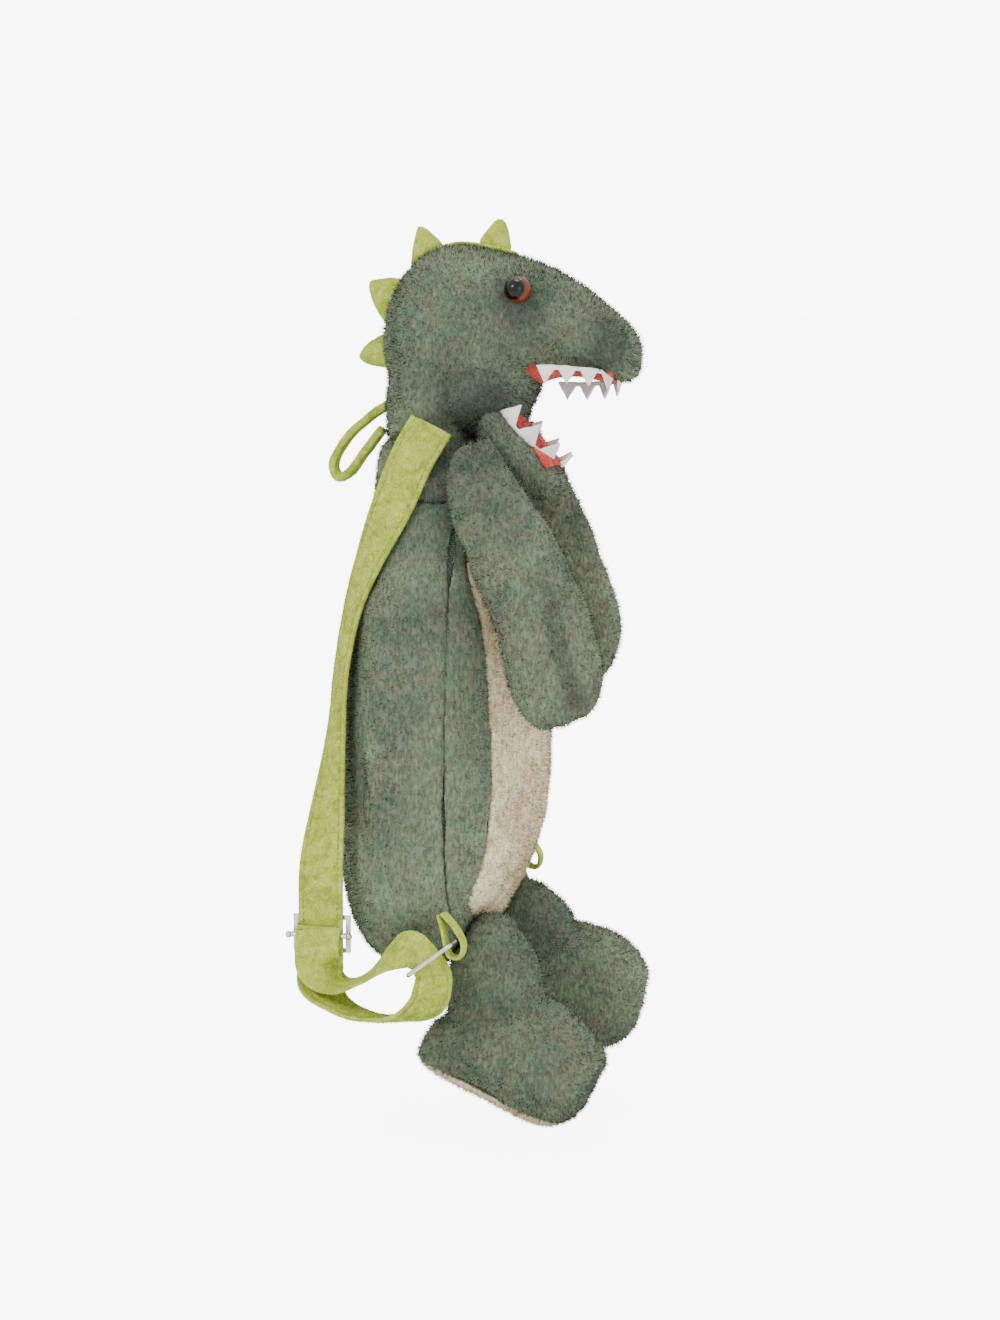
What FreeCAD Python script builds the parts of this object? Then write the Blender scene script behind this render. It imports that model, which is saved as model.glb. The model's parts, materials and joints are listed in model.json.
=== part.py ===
import FreeCAD, Part

import math
import os

# A plush dinosaur that is worn as a small backpack, in millimetres.
# The origin is at the nape, where the carry loop is sewn in. +X is forward (the nose), +Y is the
# dinosaur's left and +Z is up. Every piece is drawn in the frame of the part of the animal that it belongs
# to (bag, head, jaw, arm or leg) and is then put in its place by that part's Placement.

Vector = FreeCAD.Vector
Rotation = FreeCAD.Rotation
Placement = FreeCAD.Placement
X_AXIS = Vector(1, 0, 0)
Y_AXIS = Vector(0, 1, 0)
Z_AXIS = Vector(0, 0, 1)

doc = FreeCAD.newDocument("DinosaurBackpack")
sheet = doc.addObject("Spreadsheet::Sheet", "Sizes")

SIZES = {
    # fabric
    "plush_wall": 3.5,
    "lining_wall": 1.2,
    "seam_gap": 0.4,
    "felt_thick": 1.6,
    # bag
    "side_seam_x": 21,
    "belly_width": 116,
    "belly_low": 14,
    "belly_height": 232,
    "belly_corner": 24,
    "neck_ball_radius": 40,
    "neck_pivot_height": 255,
    # zip in the back of the bag
    "zip_low": 72,
    "zip_length": 140,
    "zip_width": 24,
    "zip_lean": 2.6,
    "zip_depth": -49.6,
    "tape_thick": 1.2,
    "tooth_pitch": 3.5,
    "tooth_wide": 3,
    "tooth_deep": 2.4,
    "tooth_gap": 0.4,
    "bead_wide": 1,
    "row_low": 6,
    "zip_slider_wide": 10,
    "zip_slider_tall": 11,
    "pull_wide": 7,
    "pull_tall": 27,
    "pull_thick": 1.4,
    "pin_radius": 0.8,
    # head
    "head_roll": -14,
    "crest_wide": 17,
    "crest_thick": 2.5,
    "crest_low": 27,
    "crest_front": 42,
    "spike_wide": 15,
    "eye_radius": 7.8,
    "pupil_radius": 6.5,
    "pupil_out": 2.6,
    "post_radius": 2,
    "washer_radius": 8,
    "washer_thick": 1.6,
    "eye_x": 52,
    "eye_y": 38,
    "eye_z": 68,
    "palate_wide": 50,
    "tooth_margin": 1.5,
    # jaw
    "jaw_pitch": 43.5,
    "jaw_root_radius": 12.6,
    "jaw_room_radius": 17.6,
    "jaw_root_wide": 54,
    # legs
    "hip_radius": 16,
    "foot_pitch": 23,
    "sole_height": 9,
    # straps
    "strap_wide": 25,
    "strap_thick": 2.2,
    "tail_thick": 2,
    "tab_wide": 9.5,
    "loop_wide": 9,
    "loop_thick": 5,
    "slider_wide": 32,
    "slider_tall": 20.6,
    "slider_bar": 2.4,
    "ring_long": 27,
    "ring_short": 11,
    "ring_wire_radius": 1.3,
    "ring_corner": 2.5,
}

# Cross-sections of the stuffed forms. Each row is: place along the form, offset of its middle, half width
# and half thickness.
FORMS = {
    "bag": [
        (0, -4, 56, 18),
        (5, -4, 66, 26),
        (20, -5, 79, 37),
        (60, 0.8, 85, 51.5),
        (129, 4.5, 83, 54),
        (215, 5, 70, 47.5),
        (262, 0.5, 54, 33),
        (298, -3, 38, 20.5),
    ],
    "neck": [(-12, -1, 37, 22), (14, 0, 43, 24), (42, 4, 46, 26)],
    "skull": [
        (-25, 45, 25, 24),
        (-10, 48, 44, 42),
        (10, 50, 52, 48),
        (35, 54, 47, 41),
        (60, 57, 40, 31),
        (85, 51.5, 32, 23.5),
        (105, 41, 24, 16),
        (112, 39, 13, 8),
    ],
    "jaw": [(2, -2.5, 30, 11.5), (18, -6, 36, 14.5), (36, -9, 34, 16), (50, -6.6, 26, 12.4), (59, -6, 13, 6)],
    "arm": [
        (4, 0, 9, 6),
        (-28, -5, 21, 13),
        (-70, 1, 24, 15),
        (-112, 2, 27, 15),
        (-143, -1, 24, 12),
        (-157, -2, 11, 6),
    ],
    "leg": [(-2, 0, 16, 14), (-22, -3, 21, 19), (-48, -3, 26, 22)],
    "foot": [(-19, 17, 14, 12), (0, 26, 28, 25), (30, 33, 34, 33), (58, 31, 33, 30), (75, 35, 17, 14)],
}
FORM_WORDS = ("at", "mid", "wide", "thick")

# Each spike of the crest: base middle x and z, lean from upright, base length and height above the base.
SPIKES = [(29, 97, -8, 22, 17), (-8, 93, 22, 23, 17), (-24, 68, 62, 34, 20), (-27, 39, 100, 24, 18)]


def fill_sheet():
    """Write every driving dimension in the sheet, one row each: its name and its value."""
    rows = dict(SIZES)
    for form, sections in FORMS.items():
        for number, section in enumerate(sections, 1):
            for word, value in zip(FORM_WORDS, section):
                rows[f"{form}_{number}_{word}"] = value
    for row, (alias, value) in enumerate(rows.items(), 1):
        sheet.set(f"A{row}", alias.replace("_", " "))
        sheet.set(f"B{row}", str(value))
        sheet.setAlias(f"B{row}", alias)
    doc.recompute()


def size(alias):
    return float(sheet.get(alias))


def add(kind, name, place=None, **bound):
    """Add a document object whose sizes are bound to cells of the sheet."""
    thing = doc.addObject(kind, name)
    if place is not None:
        thing.Placement = place
    for prop, expression in bound.items():
        thing.setExpression(prop.replace("__", "."), expression)
    return thing


def at(x, y, z, axis=Z_AXIS, angle=0):
    return Placement(Vector(x, y, z), Rotation(axis, angle))


def cut(name, base, tool):
    thing = doc.addObject("Part::Cut", name)
    thing.Base = base
    thing.Tool = tool
    return thing


def common(name, base, tool):
    thing = doc.addObject("Part::Common", name)
    thing.Base = base
    thing.Tool = tool
    return thing


def fuse(name, *pieces):
    thing = doc.addObject("Part::MultiFuse", name)
    thing.Shapes = list(pieces)
    return thing


def moved(name, thing, place):
    """Put a finished shape somewhere, to be used in another one."""
    group = doc.addObject("Part::Compound", name)
    group.Links = [thing]
    group.Placement = place
    return group


def label(thing, node, place):
    """Make a finished shape a piece of the toy: its node name and its place."""
    thing.Label = node
    thing.Placement = place
    PIECES.append(thing)
    return thing


PIECES = []

# Drawing planes of the forms: upright ones widest along Y or along X, and one that runs forward.
UPRIGHT_ACROSS = Rotation(Z_AXIS, 90)
UPRIGHT_ALONG = Rotation()
FORWARD = Rotation(Vector(1, 1, 1), 120)


def form(name, shape, turn, grow="0"):
    """Loft the cross-sections of a stuffed form, grown by an expression."""
    forward = turn is FORWARD
    last = len(FORMS[shape])
    rings = []
    for number in range(1, last + 1):
        key = f"Sizes.{shape}_{number}"
        first_at, last_at = FORMS[shape][0][0], FORMS[shape][-1][0]
        outward = {1: -1, last: 1}.get(number, 0) * (1 if last_at > first_at else -1)
        place = {
            "Placement__Base__" + ("x" if forward else "z"): f"{key}_at + {outward} * ({grow})",
            "Placement__Base__" + ("z" if forward else "x"): f"{key}_mid",
        }
        radii = {"MajorRadius": f"{key}_wide + ({grow})", "MinorRadius": f"{key}_thick + ({grow})"}
        rings.append(add("Part::Ellipse", f"{name}_ring_{number}", Placement(Vector(), turn), **place, **radii))
    loft = doc.addObject("Part::Loft", name)
    loft.Sections = rings
    loft.Solid = True
    return loft


def box(name, low, sides, place=None):
    """A box from its low corner and its three sides, each a number or an expression."""
    thing = doc.addObject("Part::Box", name)
    if place is not None:
        thing.Placement = place
    for prop, value in zip(("Length", "Width", "Height"), sides):
        thing.setExpression(prop, str(value))
    for axis, value in zip("xyz", low):
        thing.setExpression(f"Placement.Base.{axis}", str(value))
    return thing


def cylinder(name, place, radius, length):
    return add("Part::Cylinder", name, place, Radius=radius, Height=length)


# Where each part of the animal stands.

def bag_place():
    return at(26, 0, -300)


def head_place():
    return at(23, 0, -5, X_AXIS, size("head_roll"))


def jaw_place():
    return head_place() * at(32, 0, 8, Y_AXIS, size("jaw_pitch"))


def arm_place(side):
    """The left arm hangs lower and further out than the right one."""
    y, splay, raised = (58, 17, 10) if side > 0 else (-55, -10, 22)
    swing = Rotation(X_AXIS, splay) * Rotation(Y_AXIS, -raised)
    return bag_place() * Placement(Vector(34, y, 286), swing)


def leg_place(side):
    """The left leg lies splayed and a little higher than the right one."""
    return bag_place() * Placement(hip(side), Rotation(X_AXIS, 38 if side > 0 else 0))


def hip(side):
    return Vector(40, side * 42, 16 if side > 0 else 12)


def neck_pivot():
    return bag_place().multVec(Vector(-1, 0, size("neck_pivot_height")))


def ball(name, place, radius):
    return add("Part::Sphere", name, place, Radius=radius)


# Bag

def bag():
    """Five panels sewn edge to edge, and a lining that hangs inside them. The zip lies in the centre back."""
    wall = "-Sizes.plush_wall"
    pouch_wall = "-Sizes.plush_wall - Sizes.lining_wall"
    outer = form("bag_outer", "bag", UPRIGHT_ACROSS)
    inner = form("bag_inner", "bag", UPRIGHT_ACROSS, wall)
    hollow = form("bag_hollow", "bag", UPRIGHT_ACROSS, pouch_wall)
    dome = ball("neck_dome", at(-1, 0, size("neck_pivot_height")), "Sizes.neck_ball_radius")
    dome_inner = ball("neck_dome_inner", dome.Placement, "Sizes.neck_ball_radius - Sizes.plush_wall")
    dome_hollow = ball("neck_dome_hollow", dome.Placement,
                       "Sizes.neck_ball_radius - Sizes.plush_wall - Sizes.lining_wall")
    body = neck_trim("bag_body", outer, dome)
    body_inner = neck_trim("bag_body_inner", inner, dome_inner)
    body_hollow = neck_trim("bag_body_hollow", hollow, dome_hollow)
    shell = cut("bag_shell", body, body_inner)
    pouch = cut("bag_pouch", body_inner, body_hollow)
    slot = box("zip_slot", ("Sizes.zip_depth - 12", "-Sizes.zip_width / 2", "Sizes.zip_low"),
               (26, "Sizes.zip_width", "Sizes.zip_length"))
    front_half = box("front_half", ("Sizes.side_seam_x", -100, -10), (100, 200, 320))
    belly_box = box("belly_box", ("Sizes.side_seam_x + 8", "-Sizes.belly_width / 2", "Sizes.belly_low"),
                    (100, "Sizes.belly_width", "Sizes.belly_height"))
    belly_tool = doc.addObject("Part::Fillet", "belly_tool")
    belly_tool.Base = belly_box
    doc.recompute()
    corner = size("belly_corner")
    edges = belly_box.Shape.Edges
    belly_tool.Edges = [(n, corner, corner) for n, edge in enumerate(edges, 1)
                        if edge.BoundBox.XLength > 50]
    clear = fuse("hip_room", *[ball(f"hip_room_{side}", Placement(hip(side), Rotation()),
                                    "Sizes.hip_radius + Sizes.seam_gap") for side in (-1, 1)])
    back = cut("back_with_slot", cut("back_half", shell, front_half), slot)
    front = common("front_with_belly", shell, front_half)
    place = bag_place()
    whole_back = cut("back", back, clear)
    whole_front = cut("front", cut("front_less_belly", front, belly_tool), clear)
    for word, low_y in (("right", -120), ("left", 0)):
        half = box(f"{word}_half", (-100, low_y, -20), (200, 120, 340))
        label(common(f"{word}_back", whole_back, half), f"{word}_back_panel", place)
        label(common(f"{word}_front", whole_front, half), f"{word}_front_panel", place)
    label(cut("belly", common("belly_part", front, belly_tool), clear), "belly_panel", place)
    label(cut("pouch", cut("pouch_with_slot", pouch, slot), clear), "lining_pouch", place)


def neck_trim(name, torso, dome):
    """Round off the top of the bag with the ball that the head turns on."""
    below = box(f"{name}_below", (-100, -120, -10), (200, 240, "Sizes.neck_pivot_height + 10"))
    top = fuse(f"{name}_reach", below, dome)
    return common(name, torso, top)


# Zip

def zip_place():
    return bag_place() * at(size("zip_depth"), 0, size("zip_low"), Y_AXIS, size("zip_lean"))


def zip_closure():
    place = zip_place()
    for side, word in ((-1, "right"), (1, "left")):
        tape_wide = "(Sizes.zip_width / 2 - Sizes.tooth_gap)"
        low_y = "Sizes.tooth_gap" if side > 0 else f"-Sizes.tooth_gap - {tape_wide}"
        tape = box(f"{word}_tape", (0, low_y, 0), ("Sizes.tape_thick", tape_wide, "Sizes.zip_length"))
        label(tape_trim(f"{word}_tape_trimmed", tape), f"{word}_zip_tape", place)
        label(zip_teeth(word, side), f"{word}_zip_teeth", place)
    stops = [box(f"zip_stop_{n}", ("-Sizes.tooth_deep", -3, low), ("Sizes.tooth_deep", 6, 2))
             for n, low in enumerate((2, "Sizes.zip_length - 5"), 1)]
    label(fuse("stops", *stops), "zip_stops", place)


def tape_trim(name, tape):
    """Keep the tape inside the slot although the zip leans a little."""
    doc.recompute()
    room = box(f"{name}_room", (-5, -20, 1), (12, 40, "Sizes.zip_length - 3"))
    return common(name, tape, room)


def zip_teeth(word, side):
    """A row of moulded teeth on a bead, as a body with a pattern along the zip."""
    body = doc.addObject("PartDesign::Body", f"{word}_teeth_body")
    flat = next(f for f in body.Origin.OriginFeatures if f.Role == "XY_Plane")
    pads = []
    near, far = size("tooth_gap"), size("tooth_gap") + size("tooth_wide")
    bead = far - size("bead_wide")
    rows = (("bead", bead, far, "Sizes.zip_length - 14"), ("tooth", near, bead, "Sizes.tooth_pitch * 0.55"))
    for name, low, high, length in rows:
        sketch = body.newObject("Sketcher::SketchObject", f"{word}_{name}_sketch")
        sketch.AttachmentSupport = [(flat, "")]
        sketch.MapMode = "FlatFace"
        offset = size("tooth_pitch") / 2 if name == "tooth" and side < 0 else 0
        sketch.AttachmentOffset = at(0, 0, size("row_low") + offset)
        draw_rectangle(sketch, -size("tooth_deep"), 0, side * low, side * high)
        pad = body.newObject("PartDesign::Pad", f"{word}_{name}")
        pad.Profile = sketch
        pad.setExpression("Length", length)
        pads.append(pad)
    doc.recompute()
    row = body.newObject("PartDesign::LinearPattern", f"{word}_teeth_row")
    row.Originals = [pads[-1]]
    row.Direction = (next(f for f in body.Origin.OriginFeatures if f.Role == "Z_Axis"), [""])
    count = int((size("zip_length") - 18) / size("tooth_pitch"))
    row.Occurrences = count
    row.setExpression("Length", f"Sizes.tooth_pitch * {count - 1}")
    body.Tip = row
    doc.recompute()
    return body


def draw_rectangle(sketch, x_low, x_high, y_near, y_far):
    """Draw a rectangle as four lines."""
    corners = [Vector(x_low, y_near), Vector(x_low, y_far), Vector(x_high, y_far), Vector(x_high, y_near)]
    for start, end in zip(corners, corners[1:] + corners[:1]):
        sketch.addGeometry(Part.LineSegment(start, end))


def zip_runner():
    """The zip's slider: two plates joined by a web that runs between the rows of teeth, and two ears."""
    place = zip_place()
    top = size("zip_length") - 18.5
    wide = "Sizes.zip_slider_wide"
    tall = "Sizes.zip_slider_tall"
    outer = box("runner_outer", ("-Sizes.tooth_deep - 1.7", f"-{wide} / 2", top), (1.4, wide, tall))
    inner = box("runner_inner", ("Sizes.tape_thick + 0.3", f"-{wide} / 2", top), (1.2, wide, tall))
    web = box("runner_web", ("-Sizes.tooth_deep - 1.7", "-Sizes.tooth_gap + 0.15", top),
              ("Sizes.tooth_deep + Sizes.tape_thick + 2.6", "2 * Sizes.tooth_gap - 0.3", tall))
    ears = [box(f"runner_ear_{n}", ("-Sizes.tooth_deep - 5.2", low, top + 3), (3.7, 1.2, 4))
            for n, low in enumerate((-3.4, 2.2), 1)]
    pin = cylinder("runner_pin", at(-size("tooth_deep") - 3.9, -3, top + 5, X_AXIS, -90), "Sizes.pin_radius", "6")
    label(fuse("runner", outer, inner, web, pin, *ears), "zip_slider", place)
    hole = cylinder("pull_hole", at(-size("tooth_deep") - 3.9, -3, top + 5, X_AXIS, -90),
                    "Sizes.pin_radius + 0.35", "6")
    collar = cylinder("pull_collar", at(-size("tooth_deep") - 3.9, -1.9, top + 5, X_AXIS, -90),
                      "Sizes.pin_radius + 0.95", "3.8")
    neck = box("pull_neck", (-size("tooth_deep") - 4.6, -1.9, top - 3), ("Sizes.pull_thick", 3.8, 8))
    tab = box("pull_tab", (-size("tooth_deep") - 4.6, "-Sizes.pull_wide / 2", f"{top} - Sizes.pull_tall"),
              ("Sizes.pull_thick", "Sizes.pull_wide", "Sizes.pull_tall - 2"))
    label(cut("pull", fuse("pull_solid", collar, neck, tab), hole), "zip_pull", place)


# Head

def head():
    place = head_place()
    wall = "-Sizes.plush_wall"
    pivot = place.inverse().multVec(neck_pivot())
    ball_room = ball("head_ball_room", Placement(pivot, Rotation()), "Sizes.neck_ball_radius + Sizes.seam_gap")
    ball_wall = ball("head_ball_wall", Placement(pivot, Rotation()),
                     "Sizes.neck_ball_radius + Sizes.seam_gap + Sizes.plush_wall")
    jaw_room = cylinder("jaw_room", at(32, -39, 8, X_AXIS, -90), "Sizes.jaw_room_radius", "78")
    jaw_wall = cylinder("jaw_wall", at(32, -42, 8, X_AXIS, -90), "Sizes.jaw_room_radius + Sizes.plush_wall", "84")
    snout = form("skull_outer", "skull", FORWARD)
    whole = fuse("head_form", snout, form("neck_outer", "neck", UPRIGHT_ACROSS))
    solid = cut("head_solid", cut("head_less_ball", whole, ball_room), jaw_room)
    core = fuse("head_core", form("skull_inner", "skull", FORWARD, wall),
                form("neck_inner", "neck", UPRIGHT_ACROSS, wall))
    filling = cut("head_filling", cut("head_core_less_ball", core, ball_wall), jaw_wall)
    seats = []
    for side, word in ((-1, "right"), (1, "left")):
        seats += eye(word, side, place)
    seat_room = fuse("eye_seats", *seats)
    label(cut("head_shell_solid", cut("head_skin", solid, filling), seat_room), "head_shell", place)
    label(cut("head_stuffing_solid", filling, seat_room), "head_stuffing", place)
    crest(place, whole)
    palate(place, solid, snout)


def eye(word, side, place):
    """A safety eye: an amber dome on a post, a black pupil dome in it and a locking washer inside."""
    x, z = size("eye_x"), size("eye_z")
    seat = side * size("eye_y")
    facing = Rotation(Z_AXIS, side * 12) * Rotation(X_AXIS, -90 * side)
    spot = Placement(Vector(x, seat, z), facing)
    dome = ball(f"{word}_eye_dome", spot, "Sizes.eye_radius")
    pupil = ball(f"{word}_pupil_dome", spot * at(0, 0, size("pupil_out")), "Sizes.pupil_radius")
    post = cylinder(f"{word}_post", spot * at(0, 0, -16), "Sizes.post_radius", "20")
    washer = cylinder(f"{word}_washer", spot * at(0, 0, -12), "Sizes.washer_radius", "Sizes.washer_thick")
    label(cut(f"{word}_iris", fuse(f"{word}_eye_whole", dome, post), pupil), f"{word}_eye", place)
    label(moved(f"{word}_pupil_whole", pupil, Placement()), f"{word}_pupil", place)
    label(cut(f"{word}_washer_ring", washer, post), f"{word}_eye_washer", place)
    return [dome, pupil, post, washer]


def crest(place, whole):
    """The strip over the skull and its padded spikes."""
    hull = form("skull_crest", "skull", FORWARD, "Sizes.crest_thick")
    slab = box("crest_slab", (-60, "-Sizes.crest_wide / 2", "Sizes.crest_low"),
               ("60 + Sizes.crest_front", "Sizes.crest_wide", 120))
    label(common("crest_band", cut("crest_skin", hull, whole), slab), "crest_strip", place)
    under = fuse("crest_under", hull, whole)
    sink = 9
    for number, (x, z, lean, base, height) in enumerate(SPIKES, 1):
        wedge = doc.addObject("Part::Wedge", f"spike_{number}_wedge")
        for prop, value in (("Xmin", -base / 2), ("Xmax", base / 2), ("X2min", 0), ("X2max", 0),
                            ("Ymin", -sink), ("Ymax", height), ("Z2min", 0), ("Z2max", 0)):
            setattr(wedge, prop, value)
        wedge.setExpression("Zmin", "-Sizes.spike_wide / 2")
        wedge.setExpression("Zmax", "Sizes.spike_wide / 2")
        wedge.Placement = Placement(Vector(x, 0, z), Rotation(Y_AXIS, -lean) * Rotation(X_AXIS, 90))
        label(cut(f"spike_{number}", wedge, under), f"crest_spike_{number}", place)


def palate(place, solid, snout):
    """The lining under the snout and the strip of teeth round it."""
    lowered = moved("skull_lowered", snout, at(0, 0, -size("felt_thick")))
    slab = box("palate_slab", (52, "-Sizes.palate_wide / 2", 0), (50, "Sizes.palate_wide", 36))
    lining = cut("palate_skin", common("palate_patch", lowered, slab), solid)
    label(moved("palate_whole", lining, Placement()), "palate_lining", place)
    strip = teeth("upper_teeth_solid", (68, 36, 30.5), 27.5, -1, 9, (12, 9.5))
    trimmed = cut("upper_teeth_trimmed", cut("upper_teeth_less_skull", strip, solid), lining)
    label(trimmed, "upper_teeth", place)


def teeth(name, bow, lip, up, count, tooth):
    """A strip of felt bent round a jaw and cut into triangles, worked out in the jaw's own frame.

    bow is the ellipse that the strip follows: its middle x, its reach forward and its half width.
    tooth is the base and the height of one triangle.
    """
    felt = size("felt_thick")
    margin = size("tooth_margin")
    middle, reach, spread = bow
    outer = Part.Ellipse(Vector(middle, 0, 0), reach, spread)
    inner = Part.Ellipse(Vector(middle, 0, 0), reach - felt, spread - felt)
    tall = 60
    walls = [Part.Face(Part.Wire(curve.toShape())).extrude(Vector(0, 0, tall)) for curve in (outer, inner)]
    ring = walls[0].cut(walls[1])
    ring.translate(Vector(0, 0, lip - tall / 2))
    low = lip if up > 0 else lip - margin
    cutters = [Part.makeBox(reach + 2, 2 * spread, margin, Vector(middle - 2, -spread, low))]
    for number in range(count):
        angle = -90 + 180 * number / (count - 1)
        prism = tooth_prism(*tooth, reach + 10)
        flip = Rotation(X_AXIS, 0 if up > 0 else 180)
        prism.Placement = Placement(Vector(middle, 0, lip), Rotation(Z_AXIS, angle) * flip)
        cutters.append(prism)
    thing = doc.addObject("Part::Feature", name)
    thing.Shape = ring.common(cutters[0].fuse(cutters[1:]).removeSplitter())
    return thing


def tooth_prism(base, height, length):
    """A triangle that points up, drawn out along X from near the middle of the jaw."""
    start = 6
    outline = Part.makePolygon([Vector(start, -base / 2, -1), Vector(start, base / 2, -1),
                                Vector(start, 0, height), Vector(start, -base / 2, -1)])
    return Part.Face(outline).extrude(Vector(length, 0, 0))


# Lower jaw

def jaw():
    place = jaw_place()
    wall = "-Sizes.plush_wall"
    chin = fuse("jaw_form", form("jaw_outer", "jaw", FORWARD),
                cylinder("jaw_root", at(0, -27, 0, X_AXIS, -90), "Sizes.jaw_root_radius", "Sizes.jaw_root_wide"))
    core = fuse("jaw_core", form("jaw_inner", "jaw", FORWARD, wall),
                cylinder("jaw_root_inner", at(0, -23.5, 0, X_AXIS, -90),
                         "Sizes.jaw_root_radius - Sizes.plush_wall", "Sizes.jaw_root_wide - 2 * Sizes.plush_wall"))
    hull = form("jaw_lining_hull", "jaw", FORWARD, "Sizes.felt_thick")
    patch = box("jaw_patch", (16, -24, 0), (36, 48, 20))
    label(cut("jaw_skin", chin, core), "lower_jaw", place)
    label(moved("jaw_filling", core, Placement()), "lower_jaw_stuffing", place)
    label(common("jaw_lining", cut("jaw_lining_skin", hull, chin), patch), "mouth_lining", place)
    strip = teeth("lower_teeth_solid", (18, 34, 29), 3, 1, 7, (15, 12))
    label(cut("lower_teeth_trimmed", strip, chin), "lower_teeth", place)


# Arms and legs

def arms():
    for side, word in ((-1, "right"), (1, "left")):
        place = arm_place(side)
        outer = form(f"{word}_arm_outer", "arm", UPRIGHT_ALONG)
        inner = form(f"{word}_arm_inner", "arm", UPRIGHT_ALONG, "-Sizes.plush_wall")
        label(cut(f"{word}_arm_skin", outer, inner), f"{word}_arm", place)
        label(moved(f"{word}_arm_filling", inner, Placement()), f"{word}_arm_stuffing", place)


def legs():
    for side, word in ((-1, "right"), (1, "left")):
        place = leg_place(side)
        outer = leg_form(f"{word}_leg_outer", "0")
        inner = leg_form(f"{word}_leg_inner", "-Sizes.plush_wall")
        skin = cut(f"{word}_leg_skin", outer, inner)
        slab = box(f"{word}_sole_slab", (-60, -60, -20), (200, 120, "20 + Sizes.sole_height"))
        below = moved(f"{word}_sole_room", slab, foot_place())
        label(cut(f"{word}_leg_upper", skin, below), f"{word}_leg", place)
        label(moved(f"{word}_leg_filling", inner, Placement()), f"{word}_leg_stuffing", place)
        label(common(f"{word}_sole_patch", skin, below), f"{word}_sole", place)


def foot_place():
    return at(-26, 0, -79, Y_AXIS, size("foot_pitch"))


def leg_form(name, grow):
    foot = moved(f"{name}_foot", form(f"{name}_foot_loft", "foot", FORWARD, grow), foot_place())
    return fuse(name, ball(f"{name}_hip", at(0, 0, 0), f"Sizes.hip_radius + ({grow})"),
                form(f"{name}_shank", "leg", UPRIGHT_ACROSS, grow), foot)


# Straps, loop, tabs, rings and sliders

# Routes: x, y, z of the middle of the strap and how far it is turned about its own line. A strap that is
# turned by 0 lies with its width across the bag.
STRAP_ROUTE = [
    (5, -40.5, 297, 90), (-3, -51, 280, 92), (-12, -58, 256, 105), (-25, -56, 228, 130), (-36, -51, 200, 145),
    (-42, -56, 165, 150), (-44, -61, 130, 145), (-46, -70, 95, 125), (-47, -80, 66, 100), (-47, -84, 52, 90),
    (-47, -84, 30, 90), (-47, -84, 9, 90), (-47, -84, 3, 90), (-47, -87, -6, 55), (-38, -92, -15, 15),
    (-22, -95, -21.5, 0),
    (0, -96, -22, -15), (15, -97, -14, -50, 0.9), (19.6, -97.2, -1, -80, 0.82), (18.4, -97.2, 6, -90, 0.8),
    (16, -97.2, 9.2, -90, 0.76),
]
TAIL_ROUTE = [
    (16, -97.2, 9.2, -90, 0.76), (13, -97.2, 13.2, -88, 0.76), (5, -96, 16.5, -60, 0.86), (-6, -94, 11, -25),
    (-20, -92, -1, -5), (-34, -90.5, -6.5, -10), (-45, -90.5, 1, -50), (-47.5, -91.2, 10, -85),
    (-47, -91.6, 20.5, -90), (-47, -88.9, 23.4, -90), (-47, -86.4, 20.5, -90), (-47, -86.4, 12, -90),
]
TAB_ROUTE = [
    (22.5, -92.5, 34, 0), (25, -96, 28, 0), (26.8, -97.2, 20.5, 0), (29, -97.2, 14.5, 0), (34.5, -96.5, 14, 0),
    (36, -95.5, 21, 0), (31, -94, 29.5, 0), (24, -92.5, 36.5, 0),
]
LOOP_ROUTE = [
    (-4.2, 6, 4, 0), (-15, 6, -3.4, 0), (-27.4, 4, -15, 0), (-34.5, 1, -28.3, 0), (-31.5, -2, -36.3, 0),
    (-24.3, -4, -33.5, 0), (-15, -6, -22, 0), (-5, -6, -9, 0),
]
RING_CENTRE = (18.5, -97.2, 12.2)
SLIDER_CENTRE = (-47, -84, 20.5)
# The left strap is pulled tighter, so that its ring, slider and lower loop sit higher by this much.
LEFT_LIFT = 16
# The head leans to the left, so that strap is sewn in this much further out and lower.
LEFT_SHIFT = Vector(0, -5, -6)


def lifted(route):
    """The same route on the left side: its lower end is raised and its upper end moved out."""
    stations = []
    for x, y, z, *rest in route:
        low = min(1, max(0, (110 - z) / 58))
        high = min(1, max(0, (z - 228) / 50))
        y += LEFT_SHIFT.y * high
        z += LEFT_SHIFT.z * high + LEFT_LIFT * low
        stations.append((x, y, z, *rest))
    return stations


def smooth(route, steps):
    """More stations on a smooth curve through the given ones."""
    stations = []
    route = [station if len(station) == 5 else (*station, 1) for station in route]
    ends = [route[0]] + route + [route[-1]]
    for before, here, there, after in zip(ends, ends[1:], ends[2:], ends[3:]):
        for step in range(steps):
            t = step / steps
            weights = (
                (-t + 2 * t**2 - t**3) / 2, (2 - 5 * t**2 + 3 * t**3) / 2,
                (t + 4 * t**2 - 3 * t**3) / 2, (-t**2 + t**3) / 2,
            )
            around = (before, here, there, after)
            stations.append([sum(w * p[axis] for w, p in zip(weights, around)) for axis in range(5)])
    return stations + [list(route[-1])]


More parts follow.
